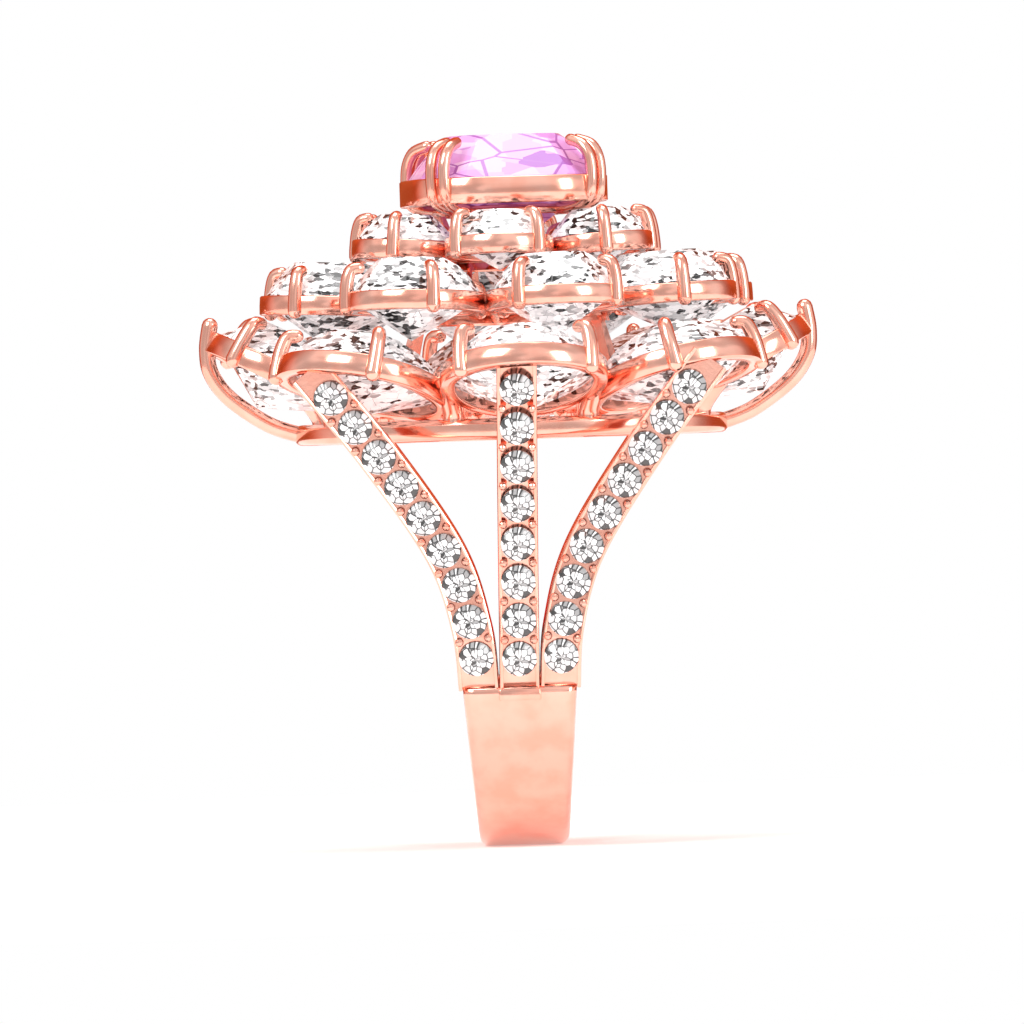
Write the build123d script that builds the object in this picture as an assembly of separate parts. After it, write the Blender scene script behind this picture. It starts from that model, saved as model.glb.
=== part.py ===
from build123d import *
import math
import os

os.makedirs("parts", exist_ok=True)

# Finger size and band.
finger_r = 8.65
band_wall = 1.7
band_top_z = -2.9
band_top_width = 5.3
band_bottom_width = 4.1
band_edge_round = 0.55
tab_width = 1.95
tab_height = 0.55
tab_proud = 0.1

# Stone-set arms.
arm_width = 1.86
arm_gap = 0.02
arm_inset = 0.2
side_arm_inset = 2.1
arm_rise = 3.75
centre_arm_shift = 0.35
pave_r = 0.8
pave_crown = 0.26
pave_depth = 0.62
pave_girdle = 0.08
pave_sink = 0.06
stone_fit = 0.02
bead_r = 0.2
centre_stones = 8
side_stones = 9

# Petals: half width, outer length and inner length of the stone from its widest point.
low_petal = dict(half=3.54, out=3.1, back=5.0, crown=1.5, depth=2.1, wall=0.34, rail=1.0, prong=0.4)
mid_petal = dict(half=2.87, out=2.7, back=4.0, crown=1.6, depth=2.05, wall=0.3, rail=0.9, prong=0.35)
top_petal = dict(half=2.26, out=2.1, back=2.5, crown=1.25, depth=1.35, wall=0.28, rail=0.9, prong=0.33)
low_count = 8
mid_count = 8
top_count = 6
low_tip_r = 14.0
mid_tip_r = 11.85
top_tip_r = 7.7
side_tip_r = 13.9
low_rise = 4.35
side_rise = 5.45
mid_rise = 7.0
top_rise = 9.5
low_tilt = 17
side_tilt = 28
mid_tilt = 3
top_tilt = 4
low_turn = 3.5
mid_turn = 15
top_turn = -3
girdle = 0.2
ledge = 0.4
solder_gap = 0.01

# Gallery under the petals.
rail_half_x = 9.6
rail_half_y = 7.9
rail_width = 1.1
rail_clear = 0.05
rail_height = 0.95
post_r = 0.42
wire_r = 0.38
hub_wall = 0.6
wire_hook = [(0.1, 0.35), (0.26, -0.75), (0.1, -1.9), (-0.75, -3.1)]
wire_foot = [(1.8, 1.05), (0.3, 0.5)]
spoke_width = 0.9
spoke_height = 0.7

# Centre stone and its basket.
centre_half = 4.25
centre_corner = 2.9
centre_crown = 2.0
centre_depth = 3.3
centre_rise = 12.2
centre_turn = 10
basket_wall = 0.42
basket_rail = 1.25
basket_prong_r = 0.29
basket_pair = 0.72
under_ring_r = 3.15
under_ring_drop = 1.43

# Heights above the finger hole's centre, and the arms' reach, from the sizes above.
rail_bottom_z = finger_r + rail_clear
low_tip_z = finger_r + low_rise
side_tip_z = finger_r + side_rise
mid_tip_z = finger_r + mid_rise
top_tip_z = finger_r + top_rise
centre_z = finger_r + centre_rise
under_ring_z = centre_z - under_ring_drop
outer_r = finger_r + band_wall
arm_top_z = finger_r + arm_rise
centre_arm_lean = low_tip_r - arm_inset - outer_r
side_arm_lean = low_tip_r - side_arm_inset - outer_r - 0.95


def gem(reach, outline, crown, depth, table, thick, mains):
    """A faceted stone about its girdle plane: reach gives the outline's size in a direction."""
    body = extrude(outline, amount=crown + thick / 2)
    body += extrude(outline, amount=-(depth + thick / 2))
    step = 360 / mains
    cuts = []
    for number in range(mains):
        main = number * step
        cuts.append((main, 1.0, crown, 1 - table, 1))
        cuts.append((main, 1.0, depth, 1.0, -1))
        for side in (0.25, 0.75):
            edge = main + side * step
            cuts.append((edge, 1.0, crown * 1.35, 1 - table, 1))
            cuts.append((edge, 1.0, depth * 1.12, 1.0, -1))
    for angle, share, rise, run, side in cuts:
        away = reach(angle)
        slope = math.atan2(rise, away * run)
        across = Vector(math.cos(math.radians(angle)), math.sin(math.radians(angle)), 0)
        normal = across * math.sin(slope) + Vector(0, 0, side * math.cos(slope))
        origin = across * away * share + Vector(0, 0, side * thick / 2)
        body = split(body, bisect_by=Plane(origin=origin, z_dir=normal), keep=Keep.BOTTOM)
    return body.solids()[0]


def petal_outline(petal, grow):
    """Outline of a petal stone, round outwards along +X and drawn out inwards."""
    half = petal["half"] + grow
    front = EllipticalCenterArc((0, 0), petal["out"] + grow, half, start_angle=-90, arc_size=180)
    back = EllipticalCenterArc((0, 0), petal["back"] + grow, half, start_angle=90, arc_size=180)
    return make_face([front, back])


def petal_reach(petal):
    def reach(angle):
        turned = math.radians(angle)
        length = petal["out"] if math.cos(turned) > 0 else petal["back"]
        return math.hypot(length * math.cos(turned), petal["half"] * math.sin(turned))
    return reach


def petal_stone(petal):
    return gem(petal_reach(petal), petal_outline(petal, 0), petal["crown"], petal["depth"], 0.52, girdle, 8)


def prong(radius, low, high, hook):
    """A round wire standing at the origin that hooks over towards -X."""
    rise = Line((0, 0, low), (0, 0, high))
    over = ThreePointArc((0, 0, high), (-hook * 0.32, 0, high + hook * 0.62), (-hook, 0, high + hook * 0.8))
    path = Wire([rise, over])
    wire = sweep(Plane(origin=(0, 0, low), z_dir=(0, 0, 1)) * Circle(radius), path=path)
    return wire + Pos(-hook, 0, high + hook * 0.8) * Sphere(radius)


def rim_point(petal, angle, grow):
    """A point of the grown outline, at an angle of its ellipse."""
    turned = math.radians(angle)
    length = (petal["out"] if math.cos(turned) > 0 else petal["back"]) + grow
    return length * math.cos(turned), (petal["half"] + grow) * math.sin(turned)


def collet(petal, stone, rim_angles, heights):
    """The setting of one petal stone: a rail that follows its outline, and prongs."""
    low = -petal["rail"] + girdle / 2
    rail = Pos(0, 0, low) * extrude(petal_outline(petal, petal["wall"]), amount=petal["rail"])
    rail -= Pos(0, 0, low - 1) * extrude(petal_outline(petal, -ledge), amount=petal["rail"] + 2)
    prongs = []
    for angle, height in zip(rim_angles, heights):
        x, y = rim_point(petal, angle, petal["wall"] * 0.75)
        length = petal["out"] if math.cos(math.radians(angle)) > 0 else petal["back"]
        facing = math.degrees(math.atan2(y / petal["half"] ** 2, x / length ** 2))
        wire = prong(petal["prong"], low - 0.12, girdle / 2 + height, petal["prong"] * 1.6)
        prongs.append(Location((x, y, 0), (0, 0, facing)) * wire)
    seat = scale(stone, 1 + stone_fit / petal["half"])
    return (rail + prongs - seat).solids()[0]


def petal_place(petal, theta, tip_r, tip_z, tilt):
    """Where a petal stands: theta runs from the front (-Y) towards +X."""
    run = petal["out"] + petal["wall"]
    base_r = tip_r - run * math.cos(math.radians(tilt))
    base_z = tip_z - run * math.sin(math.radians(tilt))
    return Location((0, 0, base_z), (0, 0, theta - 90)) * Location((base_r, 0, 0), (0, -tilt, 0))


def petal_envelope(petal, place):
    """The space one collet takes, with the solder gap round it."""
    low = -petal["rail"] + girdle / 2 - 0.12
    face = petal_outline(petal, petal["wall"] + solder_gap)
    block = Pos(0, 0, low - solder_gap) * extrude(face, amount=-low + petal["crown"] + 1)
    keel = loft([petal_outline(petal, 0.05), Pos(0, 0, -petal["depth"] - 0.15) * Circle(0.7)])
    return place * (block + keel)


def save(name, shape):
    shape.label = name
    export_step(shape, f"parts/{name}.step")


# Petal rows.
low_places = []
for number in range(low_count):
    at_side = number in (low_count // 4, low_count * 3 // 4)
    tip = (side_tip_r, side_tip_z, side_tilt) if at_side else (low_tip_r, low_tip_z, low_tilt)
    low_places.append(petal_place(low_petal, low_turn + number * 360 / low_count, *tip))
mid_places = []
for number in range(mid_count):
    theta = mid_turn + number * 360 / mid_count
    mid_places.append(petal_place(mid_petal, theta, mid_tip_r, mid_tip_z, mid_tilt))
top_places = []
for number in range(top_count):
    theta = top_turn + number * 360 / top_count
    top_places.append(petal_place(top_petal, theta, top_tip_r, top_tip_z, top_tilt))

rows = [
    ("lower", low_petal, low_places, (52, -52, 150, -150), (0.75, 0.75, 0.5, 0.5)),
    ("middle", mid_petal, mid_places, (48, -48, 150, -150), (0.75, 0.75, 0.1, 0.1)),
    ("upper", top_petal, top_places, (50, -50, 180), (0.7, 0.7, 0.2)),
]
envelopes = []
upper_collets = []
for row, petal, places, rim_angles, heights in rows:
    stone = petal_stone(petal)
    setting = collet(petal, stone, rim_angles, heights)
    for number, place in enumerate(places, start=1):
        save(f"{row}_stone_{number}", place * stone)
        save(f"{row}_collet_{number}", place * setting)
        envelopes.append(petal_envelope(petal, place))
    if row == "upper":
        upper_collets = [place * setting for place in places]

# Shank band: a domed hoop section below the arms, tapered towards the bottom.
half_top = band_top_width / 2
half_bottom = band_bottom_width / 2
hoop = Rot(0, 90, 0) * (Cylinder(outer_r, band_top_width) - Cylinder(finger_r, band_top_width))
keep_low = Polygon(
    (-half_bottom, -outer_r - 1),
    (half_bottom, -outer_r - 1),
    (half_top, band_top_z),
    (-half_top, band_top_z),
    align=None,
)
keep_low = extrude(Plane.XZ * keep_low, amount=outer_r + 1, both=True)
band = hoop & keep_low
far_edges = [
    edge for edge in band.edges()
    if math.hypot(edge.center().Y, edge.center().Z) > finger_r + band_wall / 2
    and abs(edge.center().X) > half_bottom / 2
    and edge.length > outer_r
]
band = fillet(far_edges, band_edge_round)
tab_y = math.sqrt(outer_r ** 2 - band_top_z ** 2)
for side in (-1, 1):
    tab = Pos(0, side * (tab_y - band_wall / 4 + tab_proud), band_top_z - tab_height / 2)
    band += tab * Box(tab_width, band_wall / 2, tab_height)
save("shank_band", band.solids()[0])


def lean_out(z, lean):
    """Distance of an arm's outer face from the Z axis at a height."""
    if z < 0:
        return math.sqrt(outer_r ** 2 - z ** 2)
    return outer_r + lean * (z / arm_top_z) ** 1.8


def arm_side(lean):
    """Side profile of an arm, in the Y and Z plane, extruded along X."""
    levels = [arm_top_z * share for share in (0, 0.25, 0.5, 0.75, 1)]
    outer_points = [(-lean_out(z, lean), z) for z in levels]
    inner_points = [(-lean_out(z, lean) + band_wall, z) for z in levels]
    low_outer = (-lean_out(band_top_z, lean), band_top_z)
    low_inner = (-math.sqrt(finger_r ** 2 - band_top_z ** 2), band_top_z)
    half_z = band_top_z / 2
    outline = [
        ThreePointArc(low_outer, (-lean_out(half_z, lean), half_z), outer_points[0]),
        Spline(*outer_points),
        Line(outer_points[-1], inner_points[-1]),
        Spline(*reversed(inner_points)),
        ThreePointArc(inner_points[0], (-math.sqrt(finger_r ** 2 - half_z ** 2), half_z), low_inner),
        Line(low_inner, low_outer),
    ]
    return extrude(Plane.YZ * make_face(outline), amount=2 * low_tip_r, both=True)


def pave_stone():
    return gem(lambda angle: pave_r, Circle(pave_r), pave_crown, pave_depth, 0.55, pave_girdle, 8)


def pave_seat():
    wide = pave_r + stone_fit
    deep = -pave_girdle / 2 - pave_depth * 1.03
    high = pave_girdle / 2 + pave_crown + 2 * stone_fit
    shape = Polygon(
        (0, deep), (wide, -pave_girdle / 2 - stone_fit), (wide, pave_girdle), (pave_r * 0.72, high), (0, high), align=None
    )
    return revolve(Plane.XZ * shape, axis=Axis.Z)


def arm(path_points, lean, count, first, last):
    """An arm along a path in the front view, with its stones' places."""
    path = Spline(*path_points) if len(path_points) > 2 else Line(*path_points)
    ribbon = extrude(Plane.XZ * trace(path, arm_width), amount=2 * low_tip_r)
    body = (ribbon & arm_side(lean)).solids()[0]
    places = []
    for number in range(count):
        spot = path @ (first + (last - first) * number / (count - 1))
        places.append((spot.X, spot.Y))
    return body, places


def face_frame(x, z, lean, sink):
    """A place on an arm's outer face, with its Z axis pointing outwards."""
    step = 0.05
    slope = (lean_out(z + step, lean) - lean_out(z - step, lean)) / (2 * step)
    out = Vector(0, -1, -slope).normalized()
    spot = Vector(x, -lean_out(z, lean), z) - out * sink
    return Plane(origin=spot, x_dir=(1, 0, 0), z_dir=out).location


centre_path = [(0, band_top_z), (centre_arm_shift, arm_top_z)]
side_top = (low_tip_r * math.sin(math.pi / 4) - 0.6, arm_top_z - 0.35)
side_path = [(arm_width + 2 * arm_gap, band_top_z)]
side_path += [(1.16 * arm_width, 0), (1.75 * arm_width, 0.28 * arm_top_z), (0.66 * side_top[0], 0.64 * arm_top_z), side_top]
left_path = [(-x, z) for x, z in side_path]
brilliant = pave_stone()
seat = pave_seat()
divider = Rot(0, math.degrees(math.atan2(centre_arm_shift, arm_top_z - band_top_z)), 0) * Box(
    arm_width + 2 * arm_gap, 4 * low_tip_r, 4 * arm_top_z
)
divider = Pos(0, 0, band_top_z) * divider
arm_plans = [
    ("left", left_path, side_arm_lean, side_stones, 0.083, 0.905),
    ("centre", centre_path, centre_arm_lean, centre_stones, 0.088, 0.9),
    ("right", side_path, side_arm_lean, side_stones, 0.083, 0.905),
]
cutters = envelopes[:low_count]
front_pave = []
for side, points, lean, count, first, last in arm_plans:
    body, spots = arm(points, lean, count, first, last)
    if side != "centre":
        body = (body - divider).solids().sort_by(SortBy.VOLUME)[-1]
    beads = []
    for (x0, z0), (x1, z1) in zip(spots, spots[1:]):
        run = math.hypot(x1 - x0, z1 - z0)
        across = ((z1 - z0) / run, -(x1 - x0) / run)
        for offset in (-1, 1):
            reach = offset * (arm_width / 2 - bead_r * 1.15)
            x = (x0 + x1) / 2 + across[0] * reach
            z = (z0 + z1) / 2 + across[1] * reach
            beads.append(face_frame(x, z, lean, 0) * Sphere(bead_r))
    stones = [face_frame(x, z, lean, pave_sink) * brilliant for x, z in spots]
    seats = [face_frame(x, z, lean, pave_sink) * seat for x, z in spots]
    body = body + beads - seats
    front_pave += stones
    for name, whole in (("front", body), ("back", mirror(body, about=Plane.XZ))):
        trimmed = whole - cutters
        save(f"{name}_{side}_arm", trimmed.solids().sort_by(SortBy.VOLUME)[-1])
save("front_pave_stones", Compound(children=front_pave))
save("back_pave_stones", mirror(Compound(children=front_pave), about=Plane.XZ))

# Base rail: an oval ring with a post under each join between two petals.
rail = extrude(Ellipse(rail_half_x + rail_width / 2, rail_half_y + rail_width / 2), amount=rail_height)
rail -= extrude(Ellipse(rail_half_x - rail_width / 2, rail_half_y - rail_width / 2), amount=rail_height)
rail = Pos(0, 0, rail_bottom_z) * rail
posts = []
for number in range(low_count):
    theta = math.radians(low_turn + (number + 0.5) * 360 / low_count)
    spread = math.hypot(math.sin(theta) / rail_half_x, math.cos(theta) / rail_half_y)
    foot = Vector(math.sin(theta), -math.cos(theta), 0) / spread
    posts.append(Pos(foot.X, foot.Y, rail_bottom_z + 1.4) * Cylinder(post_r * 1.5, 2.8 - 0.1))
base = rail + posts - cutters
save("base_rail", base.solids().sort_by(SortBy.VOLUME)[-1])

# Side wires: from each side petal's tip, out and down to the base rail.
wire_points = [(side_tip_r + out, side_tip_z + up) for out, up in wire_hook]
wire_points += [(rail_half_x + out, rail_bottom_z + up) for out, up in wire_foot]
for name, side in (("left", -1), ("right", 1)):
    wire_path = Spline(*[(side * x, 0, z) for x, z in wire_points])
    start = Plane(origin=wire_path @ 0, z_dir=wire_path % 0)
    wire = sweep(start * Circle(wire_r), path=wire_path)
    wire += Location(wire_path @ 0) * Sphere(wire_r)
    wire = Rot(0, 0, low_turn) * wire - cutters - rail
    save(f"{name}_side_wire", wire.solids().sort_by(SortBy.VOLUME)[-1])

# Tier core: a turned hub at the petals' inner ends, with windows and spokes.


def post(start, end, radius):
    axis = Vector(*end) - Vector(*start)
    return Plane(origin=start, z_dir=axis) * Cylinder(radius, axis.length, align=(Align.CENTER, Align.CENTER, Align.MIN))


def around(radius, theta, z):
    turned = math.radians(theta)
    return radius * math.sin(turned), -radius * math.cos(turned), z


def inner_end(petal, tip_r, tip_z, tilt):
    run = petal["out"] + petal["back"] + 2 * petal["wall"]
    turned = math.radians(tilt)
    return tip_r - run * math.cos(turned), tip_z - run * math.sin(turned)


low_r, low_z = inner_end(low_petal, low_tip_r, low_tip_z, low_tilt)
mid_r, mid_z = inner_end(mid_petal, mid_tip_r, mid_tip_z, mid_tilt)
top_r, top_z = inner_end(top_petal, top_tip_r, top_tip_z, top_tilt)
hub_levels = [(low_r + 0.25, low_z - 0.3), (mid_r + 0.15, mid_z - 0.5), (top_r + 0.1, top_z - 0.5)]
outer_side = []
inner_side = []
for radius, z in hub_levels:
    outer_side += [(radius, z - hub_wall / 2), (radius, z + hub_wall / 2)]
    inner_side += [(radius - hub_wall, z - hub_wall / 2), (radius - hub_wall, z + hub_wall / 2)]
hub_profile = Plane.XZ * Polygon(*outer_side, *reversed(inner_side), align=None)
core = revolve(hub_profile, axis=Axis.Z)
windows = []
for (r0, z0), (r1, z1), count, turn in zip(hub_levels, hub_levels[1:], (8, 6), (0, top_turn)):
    gap = z1 - z0 - 2.2 * hub_wall
    wide = 2 * math.pi * (r0 + r1) / 2 / count - 1.6 * hub_wall
    for number in range(count // 2):
        across = Rot(0, 0, turn + number * 360 / count) * Box(wide, 4 * low_r, gap)
        windows.append(Pos(0, 0, (z0 + z1) / 2) * across)
core -= windows
spoke_in = hub_levels[0][0] - hub_wall / 2
spoke_z = rail_bottom_z + spoke_height / 2
for number in range(4):
    spoke = Pos(0, -(spoke_in + rail_half_x) / 2, 0) * Box(spoke_width, rail_half_x - spoke_in, spoke_height)
    foot = Pos(0, -spoke_in, spoke_height / 2) * Box(spoke_width, hub_wall, 2 * spoke_height)
    core += Pos(0, 0, spoke_z) * Rot(0, 0, 45 + 90 * number) * (spoke + foot)

# Centre stone and basket.
cushion = RectangleRounded(2 * centre_half, 2 * centre_half, centre_corner)


def cushion_reach(angle):
    turned = math.radians(angle)
    flat = abs(math.cos(turned)) + abs(math.sin(turned))
    return (centre_half - centre_corner) * flat + centre_corner


centre_place = Location((0, 0, centre_z), (0, 0, centre_turn))
centre = gem(cushion_reach, cushion, centre_crown, centre_depth, 0.74, girdle, 8)
save("centre_stone", centre_place * centre)
outer_half = centre_half + basket_wall
rail_low = -basket_rail + girdle / 2
basket = extrude(RectangleRounded(2 * outer_half, 2 * outer_half, centre_corner + basket_wall), amount=basket_rail)
open_half = centre_half - ledge
basket -= extrude(RectangleRounded(2 * open_half, 2 * open_half, centre_corner - ledge), amount=basket_rail)
basket = Pos(0, 0, rail_low) * basket
corner_r = (centre_half - centre_corner) * math.sqrt(2) + centre_corner + basket_wall * 0.9
ring_z = under_ring_z - centre_z
wires = [Pos(0, 0, ring_z) * Torus(under_ring_r, basket_prong_r * 0.85)]
for quarter in range(4):
    for offset in (-basket_pair / 2, basket_pair / 2):
        points = [
            (under_ring_r, offset * 0.6, ring_z),
            (corner_r * 0.85, offset * 0.8, ring_z + 0.14),
            (corner_r, offset, rail_low + 0.35),
            (corner_r + 0.1, offset, girdle + 0.4),
            (corner_r - 0.3, offset, centre_crown * 0.72),
            (corner_r - 1.05, offset * 0.8, centre_crown * 0.87),
        ]
        path = Spline(*points)
        wire = sweep(Plane(origin=path @ 0, z_dir=path % 0) * Circle(basket_prong_r), path=path)
        wire += Location(path @ 1) * Sphere(basket_prong_r)
        wires.append(Rot(0, 0, 45 + 90 * quarter) * wire)
basket = basket + wires - scale(centre, 1 + stone_fit / centre_half)
save("centre_basket", centre_place * basket.solids().sort_by(SortBy.VOLUME)[-1])

# Legs from the hub's top up to the basket's under ring, between upper petals.
for theta in (top_turn + 30, top_turn + 150, top_turn + 270):
    foot = around(hub_levels[2][0] - hub_wall / 2, theta, hub_levels[2][1])
    knee = around(under_ring_r, theta, under_ring_z)
    core += post(foot, knee, post_r * 0.7)
tools = [solid for shape in envelopes for solid in shape.solids()]
tools += base.solids() + (centre_place * basket).solids()
tools += upper_collets + [centre_place * scale(centre, 1.02)]
core = core.cut(*tools)
save("tier_core", core.solids().sort_by(SortBy.VOLUME)[-1])
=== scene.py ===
import math
import random

import bmesh
import bpy
from mathutils import Matrix, Vector


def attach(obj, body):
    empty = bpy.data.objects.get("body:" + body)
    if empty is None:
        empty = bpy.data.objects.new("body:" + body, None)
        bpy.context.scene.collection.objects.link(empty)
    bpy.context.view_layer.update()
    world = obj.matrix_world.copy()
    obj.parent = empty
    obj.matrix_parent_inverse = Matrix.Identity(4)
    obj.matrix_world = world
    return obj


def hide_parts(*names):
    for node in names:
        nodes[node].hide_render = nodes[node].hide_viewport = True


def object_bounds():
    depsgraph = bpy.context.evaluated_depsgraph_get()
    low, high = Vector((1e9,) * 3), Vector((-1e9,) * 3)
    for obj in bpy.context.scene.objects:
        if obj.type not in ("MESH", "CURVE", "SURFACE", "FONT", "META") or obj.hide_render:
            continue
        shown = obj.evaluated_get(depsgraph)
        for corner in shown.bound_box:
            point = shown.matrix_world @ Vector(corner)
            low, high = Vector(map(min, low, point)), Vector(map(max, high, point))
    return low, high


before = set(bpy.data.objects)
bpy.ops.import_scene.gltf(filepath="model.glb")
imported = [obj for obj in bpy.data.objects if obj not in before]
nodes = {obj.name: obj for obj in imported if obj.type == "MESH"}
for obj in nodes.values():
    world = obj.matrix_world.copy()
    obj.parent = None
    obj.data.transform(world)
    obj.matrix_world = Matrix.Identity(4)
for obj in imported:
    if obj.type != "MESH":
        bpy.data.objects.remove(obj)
cadBox = [list(corner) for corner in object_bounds()]
mm = 0.001
rng = random.Random(7)
print("frame loaded:", len(nodes), "nodes")


class Socket:
    # a shader socket that can be used in Python expressions
    def __init__(self, tree, socket):
        self.tree = tree
        self.socket = socket

    def make(self, kind, settings=None, **inputs):
        node = self.tree.nodes.new(kind)
        for name, value in (settings or {}).items():
            if name == "stops":
                ramp = node.color_ramp
                ramp.interpolation = "CONSTANT"
                while len(ramp.elements) > 1:
                    ramp.elements.remove(ramp.elements[-1])
                for number, (place, colour) in enumerate(value):
                    stop = ramp.elements[0] if number == 0 else ramp.elements.new(place)
                    stop.position = place
                    stop.color = colour if len(colour) == 4 else (*colour, 1)
            else:
                setattr(node, name, value)
        for name, value in inputs.items():
            key = int(name[1:]) if name[0] == "_" else name.replace("_", " ")
            if isinstance(value, Socket):
                self.tree.links.new(value.socket, node.inputs[key])
            else:
                node.inputs[key].default_value = value
        return node

    def out(self, node, name=0):
        return Socket(self.tree, node.outputs[name])

    def math(self, operation, first, second=None):
        inputs = {"_0": first} if second is None else {"_0": first, "_1": second}
        return self.out(self.make("ShaderNodeMath", {"operation": operation}, **inputs))

    def __add__(self, other):
        return self.math("ADD", self, other)

    __radd__ = __add__

    def __sub__(self, other):
        return self.math("SUBTRACT", self, other)

    def __rsub__(self, other):
        return self.math("SUBTRACT", other, self)

    def __mul__(self, other):
        return self.math("MULTIPLY", self, other)

    __rmul__ = __mul__

    def ramp(self, *stops):
        return self.out(self.make("ShaderNodeValToRGB", {"stops": stops}, Fac=self))

    def vector(self, operation, *values):
        inputs = {f"_{number}": value for number, value in enumerate(values)}
        node = self.make("ShaderNodeVectorMath", {"operation": operation}, **inputs)
        return self.out(node, "Value" if operation == "LENGTH" else 0)

    def between(self, low, high):
        settings = {"interpolation_type": "SMOOTHSTEP"}
        node = self.make("ShaderNodeMapRange", settings, _0=self, _1=low, _2=high)
        return self.out(node)

    def tint(self, first, second, blend="MIX"):
        settings = {"data_type": "RGBA", "blend_type": blend}
        node = self.make("ShaderNodeMix", settings, _0=self, _6=first, _7=second)
        return self.out(node, 2)


def newMaterial(name):
    material = bpy.data.materials.new(name)
    material.use_nodes = True
    tree = material.node_tree
    tree.nodes.clear()
    base = Socket(tree, None)
    place = base.out(base.make("ShaderNodeTexCoord"), "Object")
    return material, base, place


def finishMaterial(base, shader):
    output = base.make("ShaderNodeOutputMaterial")
    base.tree.links.new(shader.outputs[0], output.inputs["Surface"])


roseGold = {"light": (0.98, 0.52, 0.41, 1), "deep": (0.97, 0.44, 0.33, 1), "rough": 0.13, "scratch": 0.07}


def roseGoldMaterial():
    material, base, place = newMaterial("roseGoldPolish")
    drift = base.out(base.make("ShaderNodeTexNoise", Vector=place, Scale=700.0, Detail=3.0), "Fac")
    fine = base.out(base.make("ShaderNodeTexNoise", Vector=place, Scale=6000.0, Detail=4.0), "Fac")
    colour = drift.between(0.35, 0.7).tint(roseGold["light"], roseGold["deep"])
    rough = roseGold["rough"] + drift * 0.06 + fine.between(0.6, 0.8) * roseGold["scratch"]
    bump = base.make("ShaderNodeBump", Strength=0.05, Distance=0.00002, Height=fine)
    shader = base.make(
        "ShaderNodeBsdfPrincipled", Base_Color=colour, Metallic=1.0, Roughness=rough, Normal=base.out(bump)
    )
    finishMaterial(base, shader)
    return material


def grey(level):
    return (level, level, level * 1.01, 1)


# painted reflections for the clear stones: the ramp's grey-to-black patches, the dark edge lines and the
# glow stand in for light thrown back by the facets
clearStone = {
    "cell": 2500.0, "flat": (1, 1, 2.6), "line": 0.012, "sharp": 400.0,
    "through": 0.1, "ior": 1.7, "glow": 0.28,
    "stops": [
        (0, grey(0.01)), (0.07, grey(0.12)), (0.13, grey(0.36)),
        (0.22, grey(0.6)), (0.36, grey(0.82)), (0.52, grey(1)),
    ],
    "paintedEdgeLines": (0.35, 0.35, 0.36, 1),
}
# the pink is the stone's own colour; its darker purple patches, dark edge lines and glow are painted
# reflection and painted glow
pinkStone = {
    "cell": 520.0, "flat": (1, 1, 3.0), "line": 0.02, "sharp": 400.0,
    "through": 0.15, "ior": 1.6, "glow": 0.12,
    "stops": [
        (0, (0.4, 0.14, 0.5, 1)), (0.05, (0.66, 0.32, 0.72, 1)), (0.25, (0.8, 0.42, 0.84, 1)),
        (0.6, (0.86, 0.52, 0.9, 1)), (0.88, (0.92, 0.66, 0.94, 1)),
    ],
    "paintedEdgeLines": (0.42, 0.16, 0.5, 1),
}


def stoneMaterial(name, settings):
    # colour is painted reflection: random light and dark facet patches and dark facet-edge lines, also fed
    # to emission as a painted glow
    material, base, place = newMaterial(name)
    spot = place.vector("MULTIPLY", place, settings["flat"])
    ways = {"feature": "F1", "distance": "MANHATTAN"}
    cells = base.make("ShaderNodeTexVoronoi", ways, Vector=spot, Scale=settings["cell"])
    rims = {"feature": "DISTANCE_TO_EDGE"}
    edges = base.make("ShaderNodeTexVoronoi", rims, Vector=spot, Scale=settings["cell"] * 0.45)
    red = base.out(base.make("ShaderNodeSeparateColor", Color=base.out(cells, "Color")), "Red")
    facet = base.out(base.make("ShaderNodeAttribute", {"attribute_name": "paintedFacetShade"}), "Fac")
    tone = (red - (1 - facet) * 0.45).ramp(*settings["stops"])
    line = (settings["line"] - base.out(edges)) * settings["sharp"]
    colour = line.between(0, 1).tint(tone, settings["paintedEdgeLines"])
    shader = base.make(
        "ShaderNodeBsdfPrincipled",
        Base_Color=colour,
        Roughness=0.03 + red * 0.05,
        IOR=settings["ior"],
        Transmission_Weight=settings["through"],
        Emission_Color=colour,
        Emission_Strength=settings["glow"],
    )
    finishMaterial(base, shader)
    return material


pavedStone = {"turns": 1.9, "rings": 2.6}


def pavedMaterial():
    # small brilliants: painted reflections, dark-edged grey wedges about each stone's own middle, also fed
    # to emission as a painted glow
    material, base, place = newMaterial("pavedStonePaintedSparkle")
    uv = base.out(base.make("ShaderNodeUVMap", {"uv_map": "facetMap"}))
    parts = base.make("ShaderNodeSeparateXYZ", Vector=uv)
    turn = base.out(parts, "Y").math("ARCTAN2", base.out(parts, "Y"), base.out(parts, "X"))
    away = uv.vector("LENGTH", uv)
    turned, spread = turn * pavedStone["turns"], away * pavedStone["rings"]
    polar = base.out(base.make("ShaderNodeCombineXYZ", X=turned, Y=spread))
    cells = base.make("ShaderNodeTexVoronoi", {"feature": "F1"}, Vector=polar, Scale=1.0)
    edges = base.make("ShaderNodeTexVoronoi", {"feature": "DISTANCE_TO_EDGE"}, Vector=polar, Scale=1.0)
    red = base.out(base.make("ShaderNodeSeparateColor", Color=base.out(cells, "Color")), "Red")
    tone = red.ramp((0, grey(0.06)), (0.14, grey(0.35)), (0.3, grey(0.7)), (0.5, grey(0.95)))
    line = base.out(edges).between(0.03, 0.11)
    colour = line.tint(grey(0.04), tone)
    shader = base.make(
        "ShaderNodeBsdfPrincipled", Base_Color=colour, Roughness=0.03 + red * 0.05, IOR=1.7,
        Emission_Color=colour, Emission_Strength=0.2, Transmission_Weight=0.1,
    )
    finishMaterial(base, shader)
    return material


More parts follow.
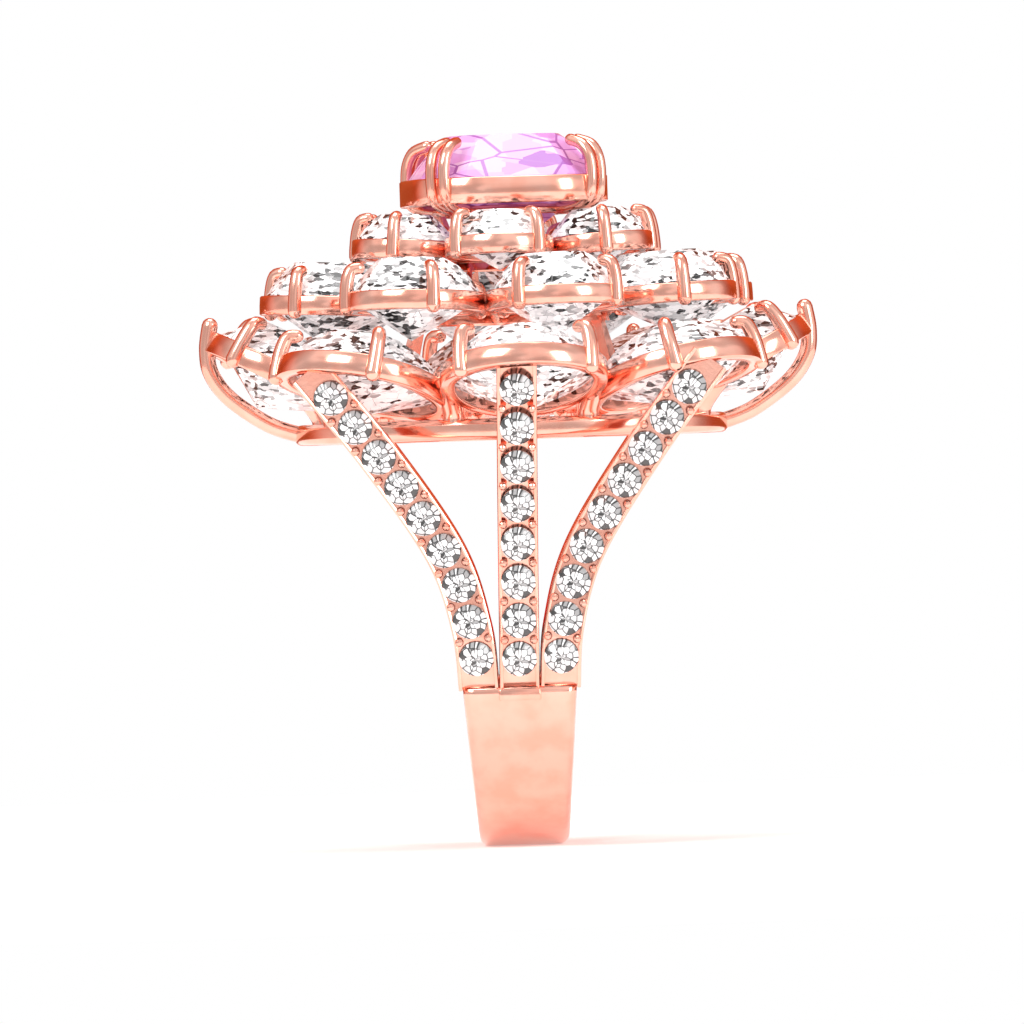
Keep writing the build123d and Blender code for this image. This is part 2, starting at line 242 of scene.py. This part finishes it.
gold = roseGoldMaterial()
clear = stoneMaterial("clearStonePaintedSparkle", clearStone)
pink = stoneMaterial("pinkStonePaintedSparkle", pinkStone)
paved = pavedMaterial()


def addPiece(name, shape, material, slotName, *stands):
    bmesh.ops.recalc_face_normals(shape, faces=shape.faces)
    mesh = bpy.data.meshes.new(name)
    shape.to_mesh(mesh)
    shape.free()
    mesh.materials.append(material)
    piece = bpy.data.objects.new(name, mesh)
    bpy.context.collection.objects.link(piece)
    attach(piece, "root")
    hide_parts(*stands)
    return piece


def smoothPath(points, steps):
    # a rounded line through the points
    points = [Vector(point) for point in points]
    line = []
    for number in range(len(points) - 1):
        before = points[max(number - 1, 0)]
        start, end = points[number], points[number + 1]
        after = points[min(number + 2, len(points) - 1)]
        for step in range(steps):
            t = step / steps
            pull = (end - before) * 0.5
            push = (after - start) * 0.5
            line.append(
                start * (2 * t**3 - 3 * t**2 + 1)
                + pull * (t**3 - 2 * t**2 + t)
                + end * (3 * t**2 - 2 * t**3)
                + push * (t**3 - t**2)
            )
    return line + [points[-1]]


def sweep(shape, section, poses, closed=False):
    # a section drawn through the poses by extruding its ring
    ring = bmesh.ops.create_circle(shape, segments=len(section), radius=1)["verts"]
    for vert, (across, up) in zip(ring, section):
        vert.co = (across, up, 0)
    edges = list(dict.fromkeys(edge for vert in ring for edge in vert.link_edges))
    first = edges
    last = Matrix()
    for number, pose in enumerate(poses):
        if number:
            grown = bmesh.ops.extrude_edge_only(shape, edges=edges)["geom"]
            ring = [item for item in grown if isinstance(item, bmesh.types.BMVert)]
            edges = [item for item in grown if isinstance(item, bmesh.types.BMEdge)]
        bmesh.ops.transform(shape, matrix=pose @ last.inverted(), verts=ring)
        last = pose
    if closed:
        bmesh.ops.bridge_loops(shape, edges=first + edges)
    else:
        bmesh.ops.contextual_create(shape, geom=first)
        bmesh.ops.contextual_create(shape, geom=edges)


def roundSection(sides):
    return [(math.cos(n * math.tau / sides), math.sin(n * math.tau / sides)) for n in range(sides)]


def softBox(wide, high, edge, steps=4):
    # a rectangle's outline with rounded corners
    outline = []
    for turn, (x, y) in enumerate(((1, 1), (-1, 1), (-1, -1), (1, -1))):
        for step in range(steps + 1):
            angle = (turn + step / steps) * math.pi / 2
            atX = x * (wide / 2 - edge) + edge * math.cos(angle)
            atY = y * (high / 2 - edge) + edge * math.sin(angle)
            outline.append((atX, atY))
    return outline


def drawWire(shape, points, radius, sides=14, steps=4, taper=1.0):
    # a round wire with domed ends
    line = smoothPath(points, steps)
    last = len(line) - 1
    ways = [(line[min(n + 1, last)] - line[max(n - 1, 0)]).normalized() for n in range(last + 1)]
    sizes = [radius * (1 + (taper - 1) * n / last) for n in range(last + 1)]
    dome = [(0.97, 0.26), (0.8, 0.6), (0.5, 0.87)]
    stations = [(line[0] - ways[0] * sizes[0] * away, ways[0], sizes[0] * wide) for away, wide in dome]
    stations += list(zip(line, ways, sizes))
    dome.reverse()
    stations += [(line[-1] + ways[-1] * sizes[-1] * away, ways[-1], sizes[-1] * wide) for away, wide in dome]
    turn = Vector((0, 0, 1)).rotation_difference(ways[0])
    way = ways[0]
    poses = []
    for place, facing, size in stations:
        turn = way.rotation_difference(facing) @ turn
        way = facing
        poses.append(Matrix.Translation(place) @ turn.to_matrix().to_4x4() @ Matrix.Scale(size, 4))
    sweep(shape, roundSection(sides), poses)


def petalSpan(petal, along, grow):
    return (petal["out"] if along > 0 else petal["back"]) + grow, petal["half"] + grow


def petalRing(shape, petal, grow, height, segments=56, filled=False):
    ring = bmesh.ops.create_circle(shape, cap_ends=filled, segments=segments, radius=1)["verts"]
    for vert in ring:
        length, half = petalSpan(petal, vert.co.x, grow)
        vert.co = (vert.co.x * length, vert.co.y * half, height)
    return ring


def petalReach(petal):
    def reach(angle):
        length, half = petalSpan(petal, math.cos(angle), 0)
        return math.hypot(length * math.cos(angle), half * math.sin(angle))
    return reach


def cutStone(shape, reach, cut, thick=0.2):
    # planes taken off a plain prism, from the girdle out to the table and the culet
    planes = [(0, 0, cut["crown"] + thick / 2, 0, 0, 1)]
    step = math.tau / cut["mains"]
    for number in range(cut["mains"]):
        main = number * step
        facets = [(main, cut["crown"], 1 - cut["table"], 1), (main, cut["depth"], 1.0, -1)]
        for share in (0.25, 0.75):
            facets.append((main + share * step, cut["crown"] * 1.35, 1 - cut["table"], 1))
            facets.append((main + share * step, cut["depth"] * 1.12, 1.0, -1))
        for angle, rise, run, side in facets:
            away = reach(angle)
            slope = math.atan2(rise, away * run)
            out = Vector((math.cos(angle), math.sin(angle), 0))
            normal = out * math.sin(slope) + Vector((0, 0, side * math.cos(slope)))
            spot = out * away + Vector((0, 0, side * thick / 2))
            planes.append((*spot, *normal))
        star = main + step / 2
        away = reach(star)
        slope = math.atan2(cut["crown"], away * (1 - cut["table"])) * 0.62
        out = Vector((math.cos(star), math.sin(star), 0))
        normal = out * math.sin(slope) + Vector((0, 0, math.cos(slope)))
        spot = out * away * cut["table"] * 0.97 + Vector((0, 0, cut["crown"] + thick / 2))
        planes.append((*spot, *normal))
    for x, y, z, nx, ny, nz in planes:
        whole = shape.verts[:] + shape.edges[:] + shape.faces[:]
        done = bmesh.ops.bisect_plane(
            shape, geom=whole, dist=1e-5, plane_co=(x, y, z), plane_no=(nx, ny, nz), clear_outer=True
        )
        rim = [item for item in done["geom_cut"] if isinstance(item, bmesh.types.BMEdge)]
        if len(rim) > 2:
            bmesh.ops.holes_fill(shape, edges=rim, sides=0)
    bmesh.ops.remove_doubles(shape, verts=shape.verts, dist=1e-4)
    bmesh.ops.recalc_face_normals(shape, faces=shape.faces)


def prism(shape, cut):
    # the ring's face, raised from under the culet to over the table
    grown = bmesh.ops.extrude_face_region(shape, geom=shape.faces[:])["geom"]
    raised = [item for item in grown if isinstance(item, bmesh.types.BMVert)]
    bmesh.ops.translate(shape, verts=raised, vec=(0, 0, cut["crown"] + cut["depth"] + 2 * girdle))
    bmesh.ops.holes_fill(shape, edges=shape.edges, sides=0)


def markFacets(shape, tones):
    # each face gets a random painted shade standing in for facet reflections; faces are taken by where they
    # stand, so that each run gives the same shades
    layer = shape.loops.layers.float_color.new("paintedFacetShade")

    def standing(face):
        return tuple(round(value, 7) for value in face.calc_center_median())

    for face in sorted(shape.faces, key=standing):
        tone = rng.choice(tones)
        for loop in face.loops:
            loop[layer] = (tone, tone, tone, 1)


def placed(source, place):
    copy = source.copy()
    bmesh.ops.transform(copy, matrix=place, verts=copy.verts)
    return copy


def petalPlace(petal, theta, tilt, tipR, tipZ):
    run = petal["out"] + petal["wall"]
    baseR = tipR - run * math.cos(math.radians(tilt))
    baseZ = tipZ - run * math.sin(math.radians(tilt))
    return (
        Matrix.Scale(mm, 4)
        @ Matrix.Translation((0, 0, baseZ))
        @ Matrix.Rotation(math.radians(theta - 90), 4, "Z")
        @ Matrix.Translation((baseR, 0, 0))
        @ Matrix.Rotation(math.radians(-tilt), 4, "Y")
    )


girdle = 0.2
# painted facet shades: how dark each white stone facet's painted reflection may be
whitePaintedFacetShades = (1.0, 1.0, 0.95, 0.9, 0.8, 0.6, 0.4)
rows = {
    "lower": {
        "half": 3.54, "out": 3.1, "back": 5.0, "wall": 0.34, "rail": 1.0, "prong": 0.38,
        "crown": 1.5, "depth": 2.1, "table": 0.52, "mains": 8,
        "count": 8, "turn": 3.5, "tipR": 14.0, "tipZ": 13.0, "tilt": 17,
        "prongs": ((52, 0.8), (-52, 0.8), (150, 0.5), (-150, 0.5)),
    },
    "middle": {
        "half": 2.87, "out": 2.7, "back": 4.0, "wall": 0.3, "rail": 0.9, "prong": 0.35,
        "crown": 1.6, "depth": 2.05, "table": 0.52, "mains": 8,
        "count": 8, "turn": 15, "tipR": 11.85, "tipZ": 15.65, "tilt": 3,
        "prongs": ((48, 0.75), (-48, 0.75), (150, 0.1), (-150, 0.1)),
    },
    "upper": {
        "half": 2.26, "out": 2.1, "back": 2.5, "wall": 0.28, "rail": 0.9, "prong": 0.33,
        "crown": 1.25, "depth": 1.35, "table": 0.52, "mains": 8,
        "count": 6, "turn": -3, "tipR": 7.7, "tipZ": 18.15, "tilt": 4,
        "prongs": ((50, 0.7), (-50, 0.7), (180, 0.2)),
    },
}
sidePetal = {"tipR": 13.9, "tipZ": 14.1, "tilt": 28}


def petalCollet(petal):
    # a rounded rail drawn round the stone's outline, then its prongs
    shape = bmesh.new()
    low = girdle / 2 - petal["rail"]
    top = girdle / 2
    wall = petal["wall"]
    section = [
        (wall - 0.05, low), (wall, low + 0.06), (wall + 0.01, low + petal["rail"] / 2),
        (wall, top - 0.06), (wall - 0.05, top), (0.07, top), (0.03, top - 0.06),
        (-0.28, low + 0.35), (-0.34, low + 0.07), (-0.28, low),
    ]
    ring = petalRing(shape, petal, *section[0])
    edges = list(dict.fromkeys(edge for vert in ring for edge in vert.link_edges))
    first = edges
    for (grow, height), (nextGrow, nextHeight) in zip(section, section[1:]):
        grown = bmesh.ops.extrude_edge_only(shape, edges=edges)["geom"]
        edges = [item for item in grown if isinstance(item, bmesh.types.BMEdge)]
        for vert in (item for item in grown if isinstance(item, bmesh.types.BMVert)):
            length, half = petalSpan(petal, vert.co.x, grow)
            newLength, newHalf = petalSpan(petal, vert.co.x, nextGrow)
            vert.co = (vert.co.x * newLength / length, vert.co.y * newHalf / half, nextHeight)
    bmesh.ops.bridge_loops(shape, edges=first + edges)
    for degrees, height in petal["prongs"]:
        angle = math.radians(degrees)
        length, half = petalSpan(petal, math.cos(angle), wall * 0.8)
        foot = Vector((length * math.cos(angle), half * math.sin(angle), 0))
        out = Vector((foot.x / length**2, foot.y / half**2, 0)).normalized()
        hook = petal["prong"] * 1.6
        line = [
            foot + out * 0.02 + Vector((0, 0, low + 0.15)),
            foot + out * 0.04 + Vector((0, 0, low + petal["rail"] * 0.6)),
            foot + Vector((0, 0, top + height * 0.55)),
            foot - out * hook * 0.3 + Vector((0, 0, top + height + hook * 0.45)),
            foot - out * hook + Vector((0, 0, top + height + hook * 0.7)),
        ]
        drawWire(shape, line, petal["prong"], taper=0.82)
    return shape


for row, petal in rows.items():
    stone = bmesh.new()
    petalRing(stone, petal, 0, -petal["depth"] - girdle, filled=True)
    prism(stone, petal)
    cutStone(stone, petalReach(petal), petal)
    collet = petalCollet(petal)
    for number in range(petal["count"]):
        atSide = row == "lower" and number in (2, 6)
        spot = sidePetal if atSide else petal
        theta = petal["turn"] + number * 360 / petal["count"]
        place = petalPlace(petal, theta, spot["tilt"], spot["tipR"], spot["tipZ"])
        gem = placed(stone, place)
        markFacets(gem, whitePaintedFacetShades)
        addPiece(f"{row}Stone{number + 1}", gem, clear, "clear_stone", f"{row}_stone_{number + 1}")
        node = f"{row}_collet_{number + 1}"
        piece = addPiece(f"{row}Collet{number + 1}", placed(collet, place), gold, "rose_gold", node)
        piece.data.shade_smooth()
print("petal rows made")

cushion = {
    "half": 4.25, "corner": 2.9, "crown": 2.0, "depth": 3.3, "table": 0.6, "mains": 8,
    "z": 20.85, "turn": 10, "wall": 0.42, "rail": 1.25, "prong": 0.28, "pair": 0.72,
    "ringR": 3.15, "ringZ": -1.43,
}


def cushionPoint(along, grow):
    flat = cushion["half"] - cushion["corner"]
    return math.copysign(flat, along) + along * (cushion["corner"] + grow)


def cushionRing(shape, grow, height, filled=False):
    ring = bmesh.ops.create_circle(shape, cap_ends=filled, segments=48, radius=1)["verts"]
    bmesh.ops.rotate(shape, verts=ring, cent=(0, 0, 0), matrix=Matrix.Rotation(math.tau / 96, 3, "Z"))
    for vert in ring:
        vert.co = (cushionPoint(vert.co.x, grow), cushionPoint(vert.co.y, grow), height)
    return ring


def cushionReach(angle):
    flat = cushion["half"] - cushion["corner"]
    return flat * (abs(math.cos(angle)) + abs(math.sin(angle))) + cushion["corner"]


def basketShape():
    shape = bmesh.new()
    low = girdle / 2 - cushion["rail"]
    top = girdle / 2
    wall = cushion["wall"]
    section = [
        (wall - 0.07, low), (wall, low + 0.07), (wall, top - 0.07), (wall - 0.07, top), (0.08, top),
        (0.03, top - 0.08), (-0.3, low + 0.5), (-0.36, low + 0.08), (-0.3, low),
    ]
    ring = cushionRing(shape, *section[0])
    edges = list(dict.fromkeys(edge for vert in ring for edge in vert.link_edges))
    first = edges
    flat = cushion["half"] - cushion["corner"]
    for (grow, height), (nextGrow, nextHeight) in zip(section, section[1:]):
        grown = bmesh.ops.extrude_edge_only(shape, edges=edges)["geom"]
        edges = [item for item in grown if isinstance(item, bmesh.types.BMEdge)]
        share = (cushion["corner"] + nextGrow) / (cushion["corner"] + grow)
        for vert in (item for item in grown if isinstance(item, bmesh.types.BMVert)):
            atX, atY = math.copysign(flat, vert.co.x), math.copysign(flat, vert.co.y)
            vert.co = (atX + (vert.co.x - atX) * share, atY + (vert.co.y - atY) * share, nextHeight)
    bmesh.ops.bridge_loops(shape, edges=first + edges)
    cornerR = flat * math.sqrt(2) + cushion["corner"] + wall * 0.9
    for quarter in range(4):
        turn = Matrix.Rotation(math.radians(45 + 90 * quarter), 3, "Z")
        for side in (-cushion["pair"] / 2, cushion["pair"] / 2):
            line = [
                (cushion["ringR"], side * 0.6, cushion["ringZ"]),
                (cornerR * 0.85, side * 0.8, cushion["ringZ"] + 0.14),
                (cornerR, side, low + 0.35),
                (cornerR + 0.1, side, girdle + 0.4),
                (cornerR - 0.3, side, cushion["crown"] * 0.72),
                (cornerR - 1.05, side * 0.8, cushion["crown"] * 0.87),
            ]
            drawWire(shape, [turn @ Vector(point) for point in line], cushion["prong"], steps=6)
    under = []
    for step in range(25):
        angle = step * math.tau / 24
        x, y = cushion["ringR"] * math.cos(angle), cushion["ringR"] * math.sin(angle)
        under.append((x, y, cushion["ringZ"]))
    drawWire(shape, under, cushion["prong"] * 0.85, sides=10, steps=2)
    return shape


centreTurn = Matrix.Rotation(math.radians(cushion["turn"]), 4, "Z")
centrePlace = Matrix.Scale(mm, 4) @ Matrix.Translation((0, 0, cushion["z"])) @ centreTurn
stone = bmesh.new()
cushionRing(stone, 0, -cushion["depth"] - girdle, filled=True)
prism(stone, cushion)
cutStone(stone, cushionReach, cushion)
# painted facet shades for the centre stone's reflections
markFacets(stone, (1.0, 0.95, 0.85, 0.75))
bmesh.ops.transform(stone, matrix=centrePlace, verts=stone.verts)
addPiece("centreStone", stone, pink, "pink_stone", "centre_stone")
basket = basketShape()
bmesh.ops.transform(basket, matrix=centrePlace, verts=basket.verts)
piece = addPiece("centreBasket", basket, gold, "rose_gold", "centre_basket")
piece.data.shade_smooth()
print("centre stone and basket made")

band = {
    "inner": 8.65, "wall": 1.7, "top": -2.9, "wideTop": 5.3, "wideBottom": 4.1,
    "edge": 0.55, "innerEdge": 0.2, "stations": 72,
    "tab": (1.95, 0.55), "proud": 0.1,
}
outerR = band["inner"] + band["wall"]


def turnedPose(place, across, up):
    # the section's own X runs along across, and its Y along up
    across, up = Vector(across).normalized(), Vector(up).normalized()
    pose = Matrix((across, up, across.cross(up))).transposed().to_4x4()
    return Matrix.Translation(place) @ pose


def bandShape():
    shape = bmesh.new()
    start = math.asin(-band["top"] / outerR)
    middle = band["inner"] + band["wall"] / 2
    wide = band["wideTop"]
    section = [point for point in softBox(wide, band["wall"], band["edge"], 6) if point[1] > 0]
    section += [point for point in softBox(wide, band["wall"], band["innerEdge"]) if point[1] < 0]
    poses = []
    for number in range(band["stations"] + 1):
        angle = start + (math.pi - 2 * start) * number / band["stations"]
        out = Vector((0, -math.cos(angle), -math.sin(angle)))
        height = -out.z * outerR
        share = (height + band["top"]) / (outerR + 1 + band["top"])
        width = band["wideTop"] + (band["wideBottom"] - band["wideTop"]) * share
        pose = turnedPose(out * middle, (1, 0, 0), out)
        poses.append(pose @ Matrix.Diagonal((width / wide, 1, 1, 1)))
    sweep(shape, section, poses)
    for side in (-1, 1):
        face = math.sqrt(outerR**2 - band["top"] ** 2)
        away = side * (face - band["wall"] / 4 + band["proud"])
        high = band["top"] - band["tab"][1] / 2
        tab = softBox(band["tab"][0], band["wall"] / 2, 0.08)
        poses = []
        for level, size in ((-1, 0.94), (-0.8, 1), (0.8, 1), (1, 0.94)):
            place = Matrix.Translation((0, away, high + level * band["tab"][1] / 2))
            poses.append(place @ Matrix.Diagonal((size, size, 1, 1)))
        sweep(shape, tab, poses)
    bmesh.ops.scale(shape, vec=(mm, mm, mm), verts=shape.verts)
    return shape


addPiece("shankBand", bandShape(), gold, "rose_gold", "shank_band").data.shade_smooth()
print("band made")

arms = {
    "top": 12.4, "width": 1.86, "lean": 3.45, "sideLean": 0.6, "stone": 0.8, "crown": 0.26, "depth": 0.62,
    "table": 0.55, "mains": 8, "sink": 0.06, "bead": 0.2, "rim": 0.09, "channel": 0.42,
}
armPaths = {
    "centre": ([(0, -2.9), (0.1, 2.2), (0.22, 7.3), (0.35, 12.4)], "lean", 8, 0.088, 0.9),
    "right": (
        [(1.9, -2.9), (2.16, 0), (3.26, 3.47), (6.14, 7.94), (9.3, 12.05)], "sideLean", 9, 0.083, 0.905
    ),
}


def leanOut(z, lean):
    if z < 0:
        return math.sqrt(outerR**2 - z**2)
    return outerR + lean * (z / arms["top"]) ** 1.8


def armFrames(points, lean, side):
    # places along the arm's outer face, evenly spaced, with their directions
    flat = smoothPath([(side * x, 0, z) for x, z in points], 24)
    lengths = [0.0]
    for start, end in zip(flat, flat[1:]):
        lengths.append(lengths[-1] + (end - start).length)

    def at(share):
        target = share * lengths[-1]
        number = max(n for n in range(len(flat) - 1) if lengths[n] <= target + 1e-9)
        run = lengths[number + 1] - lengths[number]
        spot = flat[number].lerp(flat[number + 1], (target - lengths[number]) / run)
        way = (flat[min(number + 2, len(flat) - 1)] - flat[max(number - 1, 0)]).normalized()
        slope = (leanOut(spot.z + 0.05, lean) - leanOut(spot.z - 0.05, lean)) / 0.1
        out = Vector((0, -1, -slope)).normalized()
        way = (way + Vector((0, -slope * way.z, 0))).normalized()
        across = way.cross(out).normalized()
        return Vector((spot.x, -leanOut(spot.z, lean), spot.z)), across, out

    return at


def armShape(at, shares):
    shape = bmesh.new()
    half, rim, deep, wall = arms["width"] / 2, arms["rim"], arms["channel"], band["wall"]
    section = [
        (half, -0.1), (half - 0.03, -0.03), (half - rim, 0), (half - rim - 0.08, -0.04),
        (half - rim - 0.1, -deep), (-half + rim + 0.1, -deep),
        (-half + rim + 0.08, -0.04), (-half + rim, 0), (-half + 0.03, -0.03), (-half, -0.1),
        (-half, -wall + 0.25), (-half + 0.07, -wall + 0.07), (-half + 0.25, -wall),
        (half - 0.25, -wall), (half - 0.07, -wall + 0.07), (half, -wall + 0.25),
    ]
    poses = []
    for number in range(61):
        spot, across, out = at(number / 60)
        poses.append(turnedPose(spot, across, out))
    sweep(shape, section, poses)
    for low, high in zip(shares, shares[1:]):
        spot, across, out = at((low + high) / 2)
        bar = turnedPose(spot - out * 0.17, across, out)
        for side in (-1, 1):
            place = bar @ Matrix.Translation((side * (half - 1.25 * arms["bead"]), 0.04, 0))
            place = place @ Matrix.Rotation(math.pi / -2, 4, "X")
            poses = []
            for height, size in ((0, 1), (0.1, 1), (0.2, 0.8), (0.26, 0.45), (0.28, 0.12)):
                grown = Matrix.Diagonal((size * arms["bead"], size * arms["bead"], 1, 1))
                poses.append(place @ Matrix.Translation((0, 0, height)) @ grown)
            sweep(shape, roundSection(10), poses)
    return shape


def brilliant():
    # one small round stone, with its own map from its middle
    shape = bmesh.new()
    bmesh.ops.create_circle(shape, cap_ends=True, segments=24, radius=arms["stone"])
    bmesh.ops.translate(shape, verts=shape.verts, vec=(0, 0, -arms["depth"] - girdle))
    prism(shape, arms)
    cutStone(shape, lambda angle: arms["stone"], arms, 0.08)
    layer = shape.loops.layers.uv.new("facetMap")
    for face in shape.faces:
        for loop in face.loops:
            loop[layer].uv = (loop.vert.co.x / arms["stone"], loop.vert.co.y / arms["stone"])
    mesh = bpy.data.meshes.new("brilliant")
    shape.to_mesh(mesh)
    shape.free()
    return mesh


stoneMesh = brilliant()
for side, mirrored in (("front", 1), ("back", -1)):
    flip = Matrix.Scale(mm, 4) @ Matrix.Diagonal((1, mirrored, 1, 1))
    paves = bmesh.new()
    for name, source, turned in (("left", "right", -1), ("centre", "centre", 1), ("right", "right", 1)):
        points, lean, count, first, last = armPaths[source]
        at = armFrames(points, arms[lean], turned)
        shares = [first + (last - first) * number / (count - 1) for number in range(count)]
        arm = armShape(at, shares)
        bmesh.ops.transform(arm, matrix=flip, verts=arm.verts)
        addPiece(f"{side}{name.title()}Arm", arm, gold, "rose_gold", f"{side}_{name}_arm")
        for share in shares:
            spot, across, out = at(share)
            place = turnedPose(spot - out * arms["sink"], across, out.cross(across))
            copy = stoneMesh.copy()
            copy.transform(flip @ place)
            paves.from_mesh(copy)
            bpy.data.meshes.remove(copy)
    addPiece(f"{side}PaveStones", paves, paved, "clear_stone", f"{side}_pave_stones")
bpy.data.meshes.remove(stoneMesh)
print("arms and small stones made")

gallery = {
    "halfX": 9.6, "halfY": 7.9, "width": 1.1, "low": 8.7, "height": 0.95, "post": 0.52, "wire": 0.38,
    "hook": [(14.0, 14.45), (14.16, 13.35), (14.0, 12.2), (13.15, 11.0), (11.4, 9.75), (9.9, 9.2)],
}


def railShape():
    shape = bmesh.new()
    middle = gallery["low"] + gallery["height"] / 2
    poses = []
    for number in range(96):
        theta = number * math.tau / 96
        spot = Vector((gallery["halfX"] * math.sin(theta), -gallery["halfY"] * math.cos(theta), middle))
        out = Vector((math.sin(theta) / gallery["halfX"], -math.cos(theta) / gallery["halfY"], 0))
        poses.append(turnedPose(spot, out, (0, 0, 1)))
    sweep(shape, softBox(gallery["width"], gallery["height"], 0.3), poses, closed=True)
    for number in range(8):
        theta = math.radians(rows["lower"]["turn"] + 22.5 + number * 45)
        spread = math.hypot(math.sin(theta) / gallery["halfX"], math.cos(theta) / gallery["halfY"])
        out = Vector((math.sin(theta), -math.cos(theta), 0))
        foot = out / spread
        up = gallery["low"] + gallery["height"]
        line = [
            foot + Vector((0, 0, up - 0.4)), foot + Vector((0, 0, up + 0.3)),
            foot + out * 0.5 + Vector((0, 0, up + 1.1)), foot + out * 1.2 + Vector((0, 0, up + 1.9)),
        ]
        drawWire(shape, line, gallery["post"], taper=1.15)
    bmesh.ops.scale(shape, vec=(mm, mm, mm), verts=shape.verts)
    return shape


addPiece("baseRail", railShape(), gold, "rose_gold", "base_rail").data.shade_smooth()
for name, side in (("left", -1), ("right", 1)):
    wire = bmesh.new()
    drawWire(wire, [(side * x, 0, z) for x, z in gallery["hook"]], gallery["wire"], steps=8)
    turn = Matrix.Scale(mm, 4) @ Matrix.Rotation(math.radians(rows["lower"]["turn"]), 4, "Z")
    bmesh.ops.transform(wire, matrix=turn, verts=wire.verts)
    addPiece(f"{name}SideWire", wire, gold, "rose_gold", f"{name}_side_wire").data.shade_smooth()
nodes["tier_core"].data.materials.clear()
nodes["tier_core"].data.materials.append(gold)
print("gallery made")

studio = {"floor": 0.14, "floorColour": (0.95, 0.95, 0.95, 1), "edge": (0.72, 0.14, 0.04, 1)}


def floorPiece():
    mesh = bpy.data.meshes.new("floor")
    shape = bmesh.new()
    bmesh.ops.create_circle(shape, cap_ends=True, segments=64, radius=studio["floor"])
    bmesh.ops.translate(shape, verts=shape.verts, vec=(0, 0, cadBox[0][2] - 0.00002))
    shape.to_mesh(mesh)
    shape.free()
    piece = bpy.data.objects.new("floor", mesh)
    bpy.context.collection.objects.link(piece)
    material, base, place = newMaterial("paleFloor")
    grain = base.out(base.make("ShaderNodeTexNoise", Vector=place, Scale=60.0), "Fac")
    colour = grain.tint(studio["floorColour"], (0.9, 0.9, 0.9, 1))
    shader = base.make(
        "ShaderNodeBsdfPrincipled",
        Base_Color=colour,
        Roughness=0.6,
        Emission_Color=colour,
        Emission_Strength=0.3,
    )
    finishMaterial(base, shader)
    mesh.materials.append(material)


def studioWorld():
    world = bpy.data.worlds.new("softStudio")
    world.use_nodes = True
    bpy.context.scene.world = world
    tree = world.node_tree
    tree.nodes.clear()
    base = Socket(tree, None)
    way = base.out(base.make("ShaderNodeTexCoord"), "Generated")
    parts = base.make("ShaderNodeSeparateXYZ", Vector=way)
    back = base.out(parts, "Y").between(0.0, 0.7)
    height = base.out(parts, "Z")
    drift = base.out(base.make("ShaderNodeTexNoise", Vector=way, Scale=1.7, Detail=1.0), "Fac")
    tone = back.tint((1, 1, 1, 1), studio["edge"])
    seen = base.out(base.make("ShaderNodeLightPath"), "Is Camera Ray")
    colour = seen.tint(tone, (1, 1, 1, 1))
    level = 0.6 + drift.between(0.38, 0.62) * 0.36 + height.between(0.1, 0.9) * 0.15
    strength = seen + (1 - seen) * level
    light = base.make("ShaderNodeBackground", Color=colour, Strength=strength)
    output = base.make("ShaderNodeOutputWorld")
    tree.links.new(light.outputs[0], output.inputs["Surface"])


def softLight(name, place, aim, size, power):
    data = bpy.data.lights.new(name, "AREA")
    data.shape = "RECTANGLE"
    data.size, data.size_y = size
    data.energy = power
    lamp = bpy.data.objects.new(name, data)
    lamp.location = place
    lamp.rotation_euler = (Vector(aim) - Vector(place)).to_track_quat("-Z", "Y").to_euler()
    bpy.context.collection.objects.link(lamp)


floorPiece()
studioWorld()
softLight("keySoft", (-0.28, -0.34, 0.36), (0, 0, 0.008), (0.26, 0.26), 1.3)
softLight("fillSoft", (0.36, -0.3, 0.14), (0, 0, 0.006), (0.16, 0.3), 0.8)
softLight("topSoft", (0.02, 0.05, 0.45), (0, 0, 0.01), (0.3, 0.3), 0.8)

camera = {"distance": 0.7, "perMm": 21.3, "aim": (-0.094, 5.266), "roll": 1.9}


def placeCamera():
    data = bpy.data.cameras.new("camera")
    data.sensor_width = 36.0
    data.lens = 36.0 * camera["distance"] / (1024 / camera["perMm"] * mm)
    data.clip_start, data.clip_end = 0.01, 20
    view = bpy.data.objects.new("camera", data)
    view.location = (camera["aim"][0] * mm, -camera["distance"], camera["aim"][1] * mm)
    view.rotation_euler = (math.radians(90), math.radians(camera["roll"]), 0)
    bpy.context.collection.objects.link(view)
    bpy.context.scene.camera = view
    bpy.context.scene.view_settings.view_transform = "Standard"


placeCamera()
print("studio ready")
